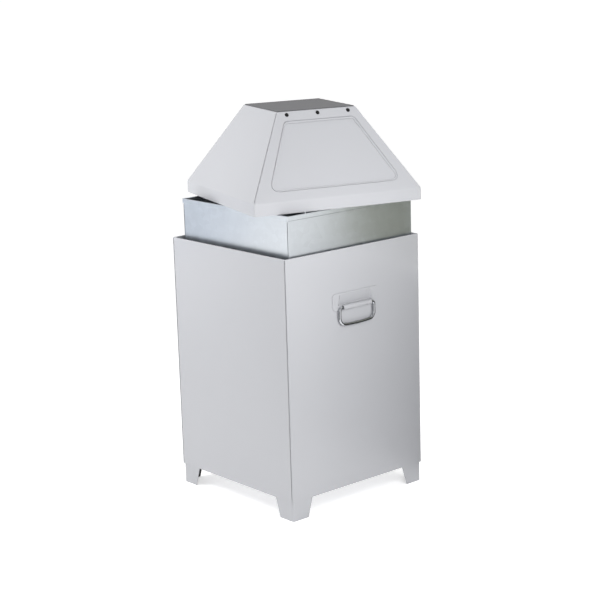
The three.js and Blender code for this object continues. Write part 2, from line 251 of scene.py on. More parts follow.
def pick(kind, test):
    """Selects, in edit mode, the vertices, edges or faces that pass a test. It has to find some."""
    settings = bpy.context.tool_settings
    settings.mesh_select_mode = [kind == name for name in ("verts", "edges", "faces")]
    bpy.ops.mesh.select_all(action="DESELECT")
    mesh = bpy.context.object.data
    body = bmesh.from_edit_mesh(mesh)
    found = [item for item in getattr(body, kind) if test(item)]
    if not found:
        raise RuntimeError(f"{mesh.name}: no {kind} found to shape")
    for item in found:
        item.select_set(True)
    body.select_flush_mode()
    bmesh.update_edit_mesh(mesh)
    return found


def near(a, b, tolerance=TINY):
    return abs(a - b) < tolerance


def both_ends(test):
    """A test of an edge that both its ends have to pass."""
    return lambda edge: all(test(vertex.co) for vertex in edge.verts)


def pick_all():
    bpy.ops.mesh.select_all(action="SELECT")


def grow(move):
    """Extrudes what is selected along a vector."""
    bpy.ops.mesh.extrude_region_move(TRANSFORM_OT_translate={"value": move})


def stretch(factors, centre):
    bpy.ops.transform.resize(value=factors, center_override=centre)


def look_outwards():
    """Turns every face of a closed piece outwards, in edit mode."""
    pick_all()
    bpy.ops.mesh.normals_make_consistent(inside=False)


def swing(centre, by, steps, axis):
    """Spins what is selected round an axis, by a right-handed angle."""
    bpy.ops.mesh.spin(steps=steps, angle=-by, center=centre, axis=axis)


def round_off(radius, segments, what="EDGES"):
    bpy.ops.mesh.bevel(offset=radius, segments=segments, affect=what, clamp_overlap=False)


def modify(piece, kind, **settings):
    """Adds a modifier and applies it."""
    only(piece)
    modifier = piece.modifiers.new(kind.lower(), kind)
    for key, value in settings.items():
        setattr(modifier, key, value)
    bpy.ops.object.modifier_apply(modifier=modifier.name)


def carve(piece, cutter, operation="DIFFERENCE"):
    """Cuts a piece with another, or joins them. The second is used up."""
    modify(piece, "BOOLEAN", object=cutter, operation=operation, solver="EXACT")
    bpy.data.objects.remove(cutter)


def put(piece, matrix):
    """Places a piece whose mesh was made in a frame of its own."""
    only(piece)
    piece.matrix_world = matrix
    bpy.ops.object.transform_apply(location=True, rotation=True, scale=True)


def copy_piece(piece, name, matrix):
    """A copy with a mesh of its own, in another place."""
    twin = piece.copy()
    twin.data = piece.data.copy()
    twin.name = twin.data.name = name
    bpy.context.scene.collection.objects.link(twin)
    put(twin, matrix)
    return twin


def smooth(piece, limit=35):
    """Round where it is bent and flat where it is flat."""
    only(piece)
    bpy.ops.object.shade_smooth_by_angle(angle=math.radians(limit))
    modify(piece, "WEIGHTED_NORMAL", keep_sharp=True, weight=100)


def soften(piece):
    """Breaks every sharp edge of a cut sheet, by four tenths of a millimetre."""
    settings = {"width": 0.4 * MM, "segments": 2, "use_clamp_overlap": True}
    modify(piece, "BEVEL", limit_method="ANGLE", angle_limit=math.radians(40), **settings)


def thicken(piece, thickness):
    """Gives a bent sheet its thickness, inwards from its outer face."""
    modify(piece, "SOLIDIFY", thickness=thickness, offset=-1, use_even_offset=True)


def block(name, x, y, z):
    """A box between pairs of places along x, y and z."""
    middle = [(a + b) / 2 for a, b in (x, y, z)]
    box = new_piece(name, bpy.ops.mesh.primitive_cube_add, size=1, location=middle)
    with editing(box):
        pick_all()
        stretch([b - a for a, b in (x, y, z)], middle)
    return box


# ---- Sheet bent round a square ----
def bend_round_square(name, line):
    """A sheet with no thickness. Each point of its line is (half width, height)."""
    half, height = line[0]
    ring = {"vertices": 4, "radius": half * SQRT2, "rotation": (0, 0, math.pi / 4)}
    piece = new_piece(name, bpy.ops.mesh.primitive_circle_add, location=(0, 0, height), **ring)
    with editing(piece):
        pick_all()
        for (half, height), (next_half, next_height) in zip(line, line[1:]):
            grow((0, 0, next_height - height))
            scale = next_half / half
            stretch((scale, scale, 1), (0, 0, next_height))
    return piece


def flip_if(piece, wrong):
    """Turns all the faces over if the sum of a test over them is negative."""
    total = sum(wrong(face) for face in piece.data.polygons)
    with editing(piece):
        pick_all()
        if total < 0:
            bpy.ops.mesh.flip_normals()


def face_outwards(piece):
    """Makes the walls look away from the can's axis."""
    flip_if(piece, lambda face: face.normal.xy.dot(face.center.xy))


def round_corners(piece, radius, segments=4):
    """Bends the four corners of a square sheet, all the way along its line."""

    def at_corner(edge):
        a, b = (vertex.co for vertex in edge.verts)
        if not (near(abs(a.x), abs(a.y)) and near(abs(b.x), abs(b.y))):
            return False
        return a.x * b.x > 0 and a.y * b.y > 0

    with editing(piece):
        pick("edges", at_corner)
        round_off(radius, segments)


def on_ring(half, height):
    """A test for the edges that run round the square at one height."""
    return both_ends(lambda co: near(co.z, height) and near(max(abs(co.x), abs(co.y)), half, 4 * MM))


def half_circle(half, height, radius, steps=6):
    """The top of a hem, from its outer face over to its inner face."""
    turns = [math.pi * i / steps for i in range(steps + 1)]
    return [(half - radius + radius * math.cos(t), height + radius * math.sin(t)) for t in turns]


def slit(piece, start, end, width, depth):
    """Cuts the narrow gap of a butt seam right through the sheet. Its depth lies along x."""
    line = end - start
    turn = line.to_track_quat("Z", "X").to_matrix().to_4x4()
    gap = block("seam_gap", *((-size / 2, size / 2) for size in (depth, width, line.length)))
    put(gap, Matrix.Translation((start + end) / 2) @ turn)
    carve(piece, gap)


def open_corners(piece, half, sizes, low, high):
    """The front and back panels wrap round the corners, so the seams' gaps lie on the two sides."""
    through = 3 * MM
    for side in (-1, 1):
        for end in (-1, 1):
            y = end * (half - sizes.bend - sizes.seam / 2)
            foot, head = (Vector((side * half, y, z)) for z in (low, high))
            slit(piece, foot, head, sizes.seam, through)


# ---- Materials ----
def add_node(tree, kind, inputs=None, **settings):
    """Adds a shader node with its settings, and links or sets its inputs."""
    node = tree.nodes.new(kind)
    for key, value in settings.items():
        setattr(node, key, value)
    for key, value in (inputs or {}).items():
        if isinstance(value, bpy.types.NodeSocket):
            tree.links.new(value, node.inputs[key])
        else:
            node.inputs[key].default_value = value
    return node


def new_material(name, base, **surface):
    """A material with one surface shader. Returns it, its node tree, the shader and the coordinates."""
    material = bpy.data.materials.new(name)
    material.use_nodes = True
    material.diffuse_color = (*base, 1)
    tree = material.node_tree
    shader = tree.nodes["Principled BSDF"]
    shader.inputs["Base Color"].default_value = (*base, 1)
    for key, value in surface.items():
        shader.inputs[key.replace("_", " ")].default_value = value
    place = add_node(tree, "ShaderNodeTexCoord").outputs["Object"]
    return material, tree, shader, place


def shade_between(tree, factor, base, low, high):
    """The base colour, from low to high times its brightness as the factor goes from 0 to 1."""
    ends = {"A": (*(v * low for v in base), 1), "B": (*(v * high for v in base), 1)}
    mix = add_node(tree, "ShaderNodeMix", data_type="RGBA", inputs={"Factor": factor})
    for socket in mix.inputs:
        if socket.type == "RGBA":
            socket.default_value = ends[socket.name]
    return next(socket for socket in mix.outputs if socket.type == "RGBA")


def powder_coat(name, base, roughness):
    """Polyester powder coat on steel: satin, with a fine orange-peel skin and a faint drift in tone."""
    material, tree, shader, place = new_material(name, base, Roughness=roughness, IOR=1.5)
    peel_size, cloud_size = 1.6 * MM, 260 * MM
    noise = "ShaderNodeTexNoise"
    cloud = add_node(tree, noise, {"Vector": place, "Scale": 1 / cloud_size, "Detail": 2.0})
    tone = shade_between(tree, cloud.outputs["Fac"], base, 0.985, 1.015)
    tree.links.new(tone, shader.inputs["Base Color"])
    peel = add_node(tree, noise, {"Vector": place, "Scale": 1 / peel_size, "Detail": 1.0})
    skin = {"Height": peel.outputs["Fac"], "Strength": 0.12, "Distance": 0.05 * MM}
    bump = add_node(tree, "ShaderNodeBump", skin)
    tree.links.new(bump.outputs["Normal"], shader.inputs["Normal"])
    return material


def galvanised(name, base):
    """Hot-dip galvanised sheet: crystals of zinc a centimetre across, dull and bright by turns."""
    material, tree, shader, place = new_material(name, base, Metallic=1.0)
    spangle_size, streak_size = 13 * MM, 60 * MM
    warp = add_node(tree, "ShaderNodeTexNoise", {"Vector": place, "Scale": 1 / spangle_size})
    bent = add_node(
        tree,
        "ShaderNodeMixRGB",
        {"Fac": 0.006, "Color1": place, "Color2": warp.outputs["Color"]},
    )
    cells = {"Vector": bent.outputs["Color"], "Scale": 1 / spangle_size}
    crystal = add_node(tree, "ShaderNodeTexVoronoi", cells).outputs["Color"]
    grey = add_node(tree, "ShaderNodeRGBToBW", {"Color": crystal}).outputs["Val"]
    drawn = add_node(tree, "ShaderNodeMapping", {"Vector": place, "Scale": (1, 1, 5)})
    runs = {"Vector": drawn.outputs["Vector"], "Scale": 1 / streak_size, "Detail": 3.0}
    streak = add_node(tree, "ShaderNodeTexNoise", runs).outputs["Fac"]
    half = {0: grey, 1: streak}
    blend = add_node(tree, "ShaderNodeMath", half, operation="MULTIPLY_ADD")
    blend.inputs[2].default_value = 0.25
    tone = shade_between(tree, blend.outputs["Value"], base, 0.93, 1.06)
    tree.links.new(tone, shader.inputs["Base Color"])
    rough = {"Value": blend.outputs["Value"], "To Min": 0.27, "To Max": 0.39}
    spread = add_node(tree, "ShaderNodeMapRange", rough)
    tree.links.new(spread.outputs["Result"], shader.inputs["Roughness"])
    return material


def bright_zinc(name, base, roughness):
    """Electroplated zinc on mild steel: a thin bright skin with fine drawing lines."""
    material, tree, shader, place = new_material(name, base, Metallic=1.0)
    mark_size = 2.5 * MM
    marks = {"Vector": place, "Scale": 1 / mark_size, "Detail": 2.0}
    mark = add_node(tree, "ShaderNodeTexNoise", marks).outputs["Fac"]
    tone = shade_between(tree, mark, base, 0.92, 1.05)
    tree.links.new(tone, shader.inputs["Base Color"])
    rough = {"Value": mark, "To Min": roughness - 0.04, "To Max": roughness + 0.06}
    spread = add_node(tree, "ShaderNodeMapRange", rough)
    tree.links.new(spread.outputs["Result"], shader.inputs["Roughness"])
    return material


def black_oxide(name, base):
    """Black oxide on a steel rivet: dark, a little glossy, and uneven where it was struck."""
    material, tree, shader, place = new_material(name, base, Roughness=0.85, IOR=1.5)
    dimple = add_node(tree, "ShaderNodeTexNoise", {"Vector": place, "Scale": 1 / (1.5 * MM)})
    tone = shade_between(tree, dimple.outputs["Fac"], base, 0.7, 1.3)
    tree.links.new(tone, shader.inputs["Base Color"])
    return material


def dark_painted_shade(name, base):
    """Near-black painted shade for faces that lie in the shade under the can: dull and a little cloudy.
    """
    material, tree, shader, place = new_material(name, base, Roughness=0.7, IOR=1.5)
    cloud = add_node(tree, "ShaderNodeTexNoise", {"Vector": place, "Scale": 1 / (40 * MM)})
    tone = shade_between(tree, cloud.outputs["Fac"], base, 0.8, 1.2)
    tree.links.new(tone, shader.inputs["Base Color"])
    return material


FINISHES = {
    "grey_powder_coat": lambda c: powder_coat("powder_coat_light_grey", c.paint, 0.32),
    # Painted shade: the top plate's grey is darkened to stand for the shade on the flat top.
    "dark_grey_paint": lambda c: powder_coat("powder_coat_mid_grey", c.plate, 0.5),
    "galvanised_sheet": lambda c: galvanised("hot_dip_galvanised_sheet", c.zinc),
    "plated_wire": lambda c: bright_zinc("bright_zinc_wire", c.wire, 0.11),
    "zinc_plated_hinge": lambda c: bright_zinc("zinc_plated_steel", c.wire, 0.34),
    "black_rivet": lambda c: black_oxide("black_oxide_steel", c.rivet),
}
made = {}


def finish_for(slot):
    """The material of a slot in the record, made the first time that it is asked for."""
    if slot not in made:
        made[slot] = FINISHES[slot](bpy.context.scene.can_colours)
    return made[slot]


def wear(piece, slot):
    """Gives a piece or a CAD node the finish of a slot."""
    piece.data.materials.clear()
    piece.data.materials.append(finish_for(slot))


def complete(piece, body, slot, *nodes):
    """Gives a piece the finish of its slot and its body, and hides the CAD nodes that it stands for."""
    wear(piece, slot)
    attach(piece, body)
    if nodes:
        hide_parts(*nodes)


# ---- Frames of reference ----
def can_frame():
    """The can's own axis, with height 0 at the shell's lower edge."""
    return Matrix.Translation((CAN_AXIS.x, CAN_AXIS.y, SHELL_LOW.z))


def hood_frame(hood):
    """The hood's axis, turned as it lies, with height 0 at its lip."""
    place = Matrix.Translation((HOOD_AXIS.x, HOOD_AXIS.y, HOOD_LOW.z))
    return place @ Matrix.Rotation(hood.turn, 4, "Z")


def slope_of(hood):
    """The length and lean of the hood's sloping faces. The lean is counted from the vertical."""
    inwards = hood.half - hood.top_half
    upwards = HOOD_HIGH.z - HOOD_LOW.z - hood.lip
    return math.hypot(inwards, upwards), math.atan2(inwards, upwards)


def slope_frame(hood):
    """The front slope, in the hood's frame: x along it, y up it from the lip's fold, z out of it."""
    place = Matrix.Translation((0, -hood.half, hood.lip))
    return place @ Matrix.Rotation(math.pi / 2 - slope_of(hood)[1], 4, "X")


# ---- The pieces ----
class CAN_OT_shell(Operator):
    """Fold the shell's walls, hem its rim and sink the seams beside its corners"""

    bl_idname = "can.shell"
    bl_label = "Shell"

    def execute(self, context):
        sizes = context.scene.can_shell
        half = (SHELL_HIGH.x - SHELL_LOW.x) / 2
        height = SHELL_HIGH.z - SHELL_LOW.z
        radius = sizes.hem_thick / 2
        rim = half_circle(half, height - radius, radius)
        line = [(half, 0), *rim, (half - sizes.hem_thick, height - sizes.hem)]
        shell = bend_round_square("shell_body", line)
        face_outwards(shell)
        round_corners(shell, sizes.bend)
        thicken(shell, sizes.sheet)
        open_corners(shell, half, sizes, -1 * MM, height - 2 * MM)
        self.cut_windows(shell, context.scene.can_handle)
        smooth(shell)
        put(shell, can_frame())
        walls = [f"shell_wall_{side}" for side in SIDES]
        complete(shell, "shell", "grey_powder_coat", *walls)
        wear(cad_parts["shell_floor"], "grey_powder_coat")
        return {"FINISHED"}

    def cut_windows(self, shell, handle):
        """An opening in the front and in the back wall lets each handle's tray sink in."""
        side, through = handle.tray_half + 3 * MM, 0.25
        tall = (handle.tray_low - 2.5 * MM, handle.tray_high + 0.5 * MM)
        carve(shell, block("window", (-side, side), (-through, through), tall))


class CAN_OT_feet(Operator):
    """Fold one angle foot with tapered arms and set a copy in each corner"""

    bl_idname = "can.feet"
    bl_label = "Feet"

    def execute(self, context):
        sizes = context.scene.can_foot
        foot = self.fold(sizes)
        inside = self.faces_given_painted_shade(foot, sizes)
        # The faces inside each fold take a near-black painted shade, standing for the shade under the
        # can.
        shade_coat = dark_painted_shade("dark_dip_primer", linear("101011"))
        half = (SHELL_HIGH.x - SHELL_LOW.x) / 2
        corner = Matrix.Translation((sizes.set_in - half, sizes.set_in - half, 0))
        for turns, name in enumerate(CORNERS):
            quarter = Matrix.Rotation(turns * math.pi / 2, 4, "Z")
            twin = copy_piece(foot, f"{name}_foot", can_frame() @ quarter @ corner)
            complete(twin, "shell", "grey_powder_coat", f"foot_{name}")
            twin.data.materials.append(shade_coat)
            twin.data.polygons.foreach_set("material_index", inside)
        bpy.data.objects.remove(foot)
        return {"FINISHED"}

    def fold(self, sizes):
        """One arm lies along x and the other along y, and the fold's outer corner is at 0, 0."""
        drop = SHELL_LOW.z
        height = drop + sizes.tuck
        arm = sizes.top - sizes.bend
        foot = new_piece("foot", bpy.ops.mesh.primitive_plane_add, size=1, rotation=(math.pi / 2, 0, 0))
        with editing(foot):
            pick_all()
            stretch((arm, 1, height), (0, 0, 0))
            middle = (sizes.bend + arm / 2, 0, (sizes.tuck - drop) / 2)
            bpy.ops.transform.translate(value=middle)
            pick("edges", both_ends(lambda co: near(co.x, sizes.bend)))
            swing((sizes.bend, sizes.bend, 0), -math.pi / 2, 6, (0, 0, 1))
            pick("edges", both_ends(lambda co: near(co.x, 0) and near(co.y, sizes.bend)))
            grow((0, arm, 0))
            pick_all()
            bpy.ops.mesh.remove_doubles(threshold=TINY)
        flip_if(foot, lambda face: -face.normal.x - face.normal.y)
        thicken(foot, sizes.sheet)
        self.taper(foot, sizes, drop)
        soften(foot)
        smooth(foot)
        return foot

    def faces_given_painted_shade(self, foot, sizes):
        """1 for each face inside the fold, which takes the painted shade, and 0 for the others."""
        level = lambda face: near(min(face.center.xy), sizes.sheet, 0.3 * MM)
        return [int(level(face) and max(face.normal.xy) > 0.5) for face in foot.data.polygons]

    def taper(self, foot, sizes, drop):
        """Cuts each arm's free end on a slant, from the shell's lower edge down to the floor."""
        slant = Vector((drop, 0, sizes.bottom - sizes.top)).normalized()
        start = Vector((sizes.top, 0, 0))
        swap = Matrix(((0, 1, 0), (1, 0, 0), (0, 0, 1)))
        for turn in (Matrix.Identity(3), swap):
            with editing(foot):
                pick_all()
                plane = {"plane_co": turn @ start, "plane_no": turn @ slant}
                bpy.ops.mesh.bisect(use_fill=True, clear_outer=True, **plane)


class CAN_OT_liner(Operator):
    """Fold the galvanised liner, with its floor and the hem round its rim"""

    bl_idname = "can.liner"
    bl_label = "Liner"

    def execute(self, context):
        sizes = context.scene.can_liner
        rim_half = (LINER_HIGH.x - LINER_LOW.x) / 2
        half = rim_half - sizes.hem_out
        height = LINER_HIGH.z - LINER_LOW.z
        radius = (sizes.hem_out + sizes.sheet) / 2
        rim = half_circle(rim_half, height - radius, radius)
        under = height - sizes.hem
        step, inside = 1.2 * MM, half - sizes.sheet
        line = [(half, 0), (half, under - step), (rim_half, under), *rim, (inside, sizes.sheet)]
        liner = bend_round_square("liner_body", line)
        with editing(liner):
            pick("edges", on_ring(inside, sizes.sheet))
            bpy.ops.mesh.edge_face_add()
            pick("edges", on_ring(half, 0))
            pick("edges", lambda edge: edge.is_boundary)
            bpy.ops.mesh.edge_face_add()
            look_outwards()
        round_corners(liner, sizes.bend)
        open_corners(liner, half, sizes, 3 * MM, under - 3 * MM)
        smooth(liner)
        place = Matrix.Translation((LINER_AXIS.x, LINER_AXIS.y, LINER_LOW.z))
        put(liner, place)
        nodes = [*(f"liner_wall_{side}" for side in SIDES), "liner_floor"]
        complete(liner, "liner", "galvanised_sheet", *nodes)
        return {"FINISHED"}


def trapezoid(name, flap, hood, margin, top, low_round, high_round):
    """A flat plate in the front slope's frame, that stands outside the opening by a margin."""
    slope_length = slope_of(hood)[0]
    low = flap.margin
    lean = (flap.low_half - flap.high_half) / (slope_length - 2 * flap.margin)
    beside = margin * math.hypot(1, lean)
    bottom = low - margin
    low_half, high_half = (flap.low_half - lean * (y - low) + beside for y in (bottom, top))
    plate = new_piece(name, bpy.ops.mesh.primitive_plane_add, size=1)
    corner = math.atan(1 / lean)
    with editing(plate):
        pick_all()
        stretch((2 * low_half, top - bottom, 1), (0, 0, 0))
        bpy.ops.transform.translate(value=(0, (top + bottom) / 2, 0))
        pick("verts", lambda vertex: near(vertex.co.y, top))
        stretch((high_half / low_half, 1, 1), (0, top, 0))
        round_off(high_round / math.tan((math.pi - corner) / 2), 6, "VERTICES")
        pick("verts", lambda vertex: near(vertex.co.y, bottom))
        round_off(low_round / math.tan(corner / 2), 8, "VERTICES")
    return plate


class CAN_OT_hood(Operator):
    """Fold the pyramid hood, cut the flap's opening and lay the top plate on it"""

    bl_idname = "can.hood"
    bl_label = "Hood"

    def execute(self, context):
        sizes = context.scene.can_hood
        top = HOOD_HIGH.z - HOOD_LOW.z
        line = [(sizes.half, 0), (sizes.half, sizes.lip), (sizes.top_half, top)]
        line.append((sizes.top_half - sizes.flange, top))
        hood = bend_round_square("hood_body", line)
        face_outwards(hood)
        round_corners(hood, sizes.bend)
        with editing(hood):
            pick("edges", on_ring(sizes.half, sizes.lip))
            round_off(sizes.bend, 4)
            pick("edges", on_ring(sizes.top_half, top))
            round_off(sizes.flange_bend, 2)
        thicken(hood, sizes.sheet)
        self.sink_seams(hood, sizes, top)
        self.cut_opening(hood, sizes, context.scene.can_flap)
        smooth(hood)
        put(hood, hood_frame(sizes))
        panels = [f"hood_panel_{side}" for side in SIDES]
        complete(hood, "hood", "grey_powder_coat", *panels)
        self.lay_top_plate(sizes)
        return {"FINISHED"}

    def sink_seams(self, hood, sizes, top):
        """The seams run up the hips, on the two side faces, and stop just short of the folds."""
        stop, through = 3 * MM, 4 * MM
        for side in (-1, 1):
            for end in (-1, 1):
                low = Vector((side * sizes.half, end * (sizes.half - sizes.bend), sizes.lip))
                high = Vector((side * sizes.top_half, end * (sizes.top_half - sizes.bend), top))
                up = (high - low).normalized()
                slit(hood, low + up * stop, high - up * stop, sizes.seam, through)

    def cut_opening(self, hood, sizes, flap):
        slope_length = slope_of(sizes)[0]
        roll, deep, clear = flap.roll, flap.hem_thick, 10 * MM
        carve(hood, self.frame_block("opening_hem", sizes, flap, flap.hem, (-deep, -MM)), "UNION")
        cutter = self.frame_block("opening", sizes, flap, roll, (0, clear))
        put(cutter, slope_frame(sizes).inverted())
        with editing(cutter):
            pick("faces", lambda face: near(face.calc_center_median().z, 0))
            for across, down in ((0.45, 0.06), (0.27, 0.18), (0.18, 0.3), (0.1, 0.35)):
                bpy.ops.mesh.inset(thickness=across * roll, depth=down * deep)
            grow((0, 0, -clear))
            look_outwards()
        put(cutter, slope_frame(sizes))
        carve(hood, cutter)
        outside = roll + flap.groove
        groove = self.frame_block("groove", sizes, flap, outside, (-flap.groove, MM))
        carve(groove, self.frame_block("groove_core", sizes, flap, roll, (-clear, clear)))
        carve(hood, groove)

    def frame_block(self, name, sizes, flap, margin, levels):
        """A block between two levels of the front slope, wider than the opening by a margin."""
        top = slope_of(sizes)[0] - flap.margin + margin
        rounds = (flap.low_round + margin, flap.high_round + margin)
        solid = trapezoid(name, flap, sizes, margin, top, *rounds)
        low, high = levels
        with editing(solid):
            pick_all()
            bpy.ops.transform.translate(value=(0, 0, low))
            grow((0, 0, high - low))
            look_outwards()
        put(solid, slope_frame(sizes))
        return solid

    def lay_top_plate(self, sizes):
        across = (-sizes.plate, sizes.plate)
        heights = (PLATE_LOW.z - HOOD_LOW.z, PLATE_HIGH.z - HOOD_LOW.z)
        plate = block("top_plate", across, across, heights)
        with editing(plate):
            upright = lambda edge: near(*(vertex.co.x for vertex in edge.verts))
            pick("edges", lambda e: upright(e) and near(*(v.co.y for v in e.verts)))
            round_off(sizes.plate_corner, 5)
        soften(plate)
        smooth(plate)
        put(plate, hood_frame(sizes))
        complete(plate, "hood", "dark_grey_paint", "hood_top_plate")


class CAN_OT_flap(Operator):
    """Fold the push flap that closes the hood's opening from behind"""

    bl_idname = "can.flap"
    bl_label = "Flap"

    def execute(self, context):
        hood = context.scene.can_hood
        sizes = context.scene.can_flap
        hinge_line = slope_of(hood)[0] - sizes.margin + context.scene.can_hinge.line
        top = hinge_line - sizes.top_gap
        low_round, high_round, fold = 16 * MM, 4 * MM, 1.2 * MM
        flap = trapezoid("push_flap", sizes, hood, sizes.overlap, top, low_round, high_round)
        face = -hood.sheet - sizes.recess
        with editing(flap):
            pick_all()
            bpy.ops.transform.translate(value=(0, 0, face - sizes.lip))
            grow((0, 0, sizes.lip))
            pick("faces", lambda f: near(f.calc_center_median().z, face - sizes.lip))
            bpy.ops.mesh.delete(type="FACE")
            pick("faces", lambda f: near(f.calc_center_median().y, top) and f.normal.y > 0.9)
            bpy.ops.mesh.delete(type="FACE")
            pick("edges", lambda e: both_ends(lambda co: near(co.z, face))(e) and not e.is_boundary)
            round_off(fold, 3)
        flip_if(flap, lambda face: face.normal.z)
        thicken(flap, sizes.sheet)
        smooth(flap)
        put(flap, hood_frame(hood) @ slope_frame(hood))
        complete(flap, "flap", "grey_powder_coat", "flap")
        return {"FINISHED"}


class CAN_OT_hinge(Operator):
    """Make the flap's hinge: three riveted heads and the coiled spring, and give the pin and both leaves
    their finish
    """

    bl_idname = "can.hinge"
    bl_label = "Hinge"

    def execute(self, context):
        hood = context.scene.can_hood
        sizes = context.scene.can_hinge
        slope_length = slope_of(hood)[0]
        place = hood_frame(hood) @ slope_frame(hood)
        rivet, clear = self.make_rivet(sizes), 0.3 * MM
        for name, x in (("left", -sizes.spread), ("middle", 0), ("right", sizes.spread)):
            spot = Matrix.Translation((x, slope_length - sizes.below, clear))
            twin = copy_piece(rivet, f"rivet_{name}", place @ spot)
            complete(twin, "hood", "black_rivet", f"hinge_rivet_{name}")
        bpy.data.objects.remove(rivet)
        line = slope_length - context.scene.can_flap.margin + sizes.line
        spring = self.wind_spring(sizes)
        put(spring, place @ Matrix.Translation((0, line, -sizes.back)))
        complete(spring, "hood", "zinc_plated_hinge", "flap_spring")
        for node in ("hinge_leaf_fixed", "hinge_leaf_moving", "hinge_pin"):
            wear(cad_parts[node], "zinc_plated_hinge")
        return {"FINISHED"}

    def make_rivet(self, sizes):
        """A domed head with a shank under it. The dome's foot is at height 0."""
        ball = {"segments": 32, "ring_count": 16, "radius": sizes.rivet}
        rivet = new_piece("rivet", bpy.ops.mesh.primitive_uv_sphere_add, **ball)
        with editing(rivet):
            pick_all()
            level = {"plane_co": (0, 0, 0), "plane_no": (0, 0, -1)}
            bpy.ops.mesh.bisect(clear_outer=True, use_fill=False, **level)
            pick_all()
            stretch((1, 1, sizes.dome / sizes.rivet), (0, 0, 0))
            pick("edges", lambda edge: edge.is_boundary)
            grow((0, 0, 0))
            narrow = sizes.shank / sizes.rivet
            stretch((narrow, narrow, 1), (0, 0, 0))
            grow((0, 0, -2 * sizes.shank))
            bpy.ops.mesh.edge_face_add()
            look_outwards()
        smooth(rivet, 40)
        return rivet

    def wind_spring(self, sizes):
        """Nine turns of wire round the pin, and a leg that bears on the hood's top flange."""
        turns, pitch, leg = 9, 3.6 * MM, 15 * MM
        start = (-pitch * turns / 2, 0, -sizes.coil)
        wire = {"vertices": 8, "radius": sizes.wire, "rotation": (0, math.pi / 2, math.pi / 2)}
        spring = new_piece("torsion_spring", bpy.ops.mesh.primitive_circle_add, location=start, **wire)
        coil = {"axis": "X", "angle": 2 * math.pi * turns, "screw_offset": pitch * turns}
        steps = 20 * turns
        modify(spring, "SCREW", steps=steps, render_steps=steps, use_smooth_shade=True, **coil)
        end = pitch * turns / 2
        with editing(spring):
            pick_all()
            bpy.ops.mesh.remove_doubles(threshold=TINY)
            pick("edges", lambda edge: edge.is_boundary and edge.verts[0].co.x > end - 1 * MM)
            grow((0, leg, 0))
            pick("edges", lambda edge: edge.is_boundary and edge.verts[0].co.x > 0)
            bpy.ops.mesh.edge_face_add()
            pick("edges", lambda edge: edge.is_boundary)
            bpy.ops.mesh.edge_face_add()
            look_outwards()
        return spring


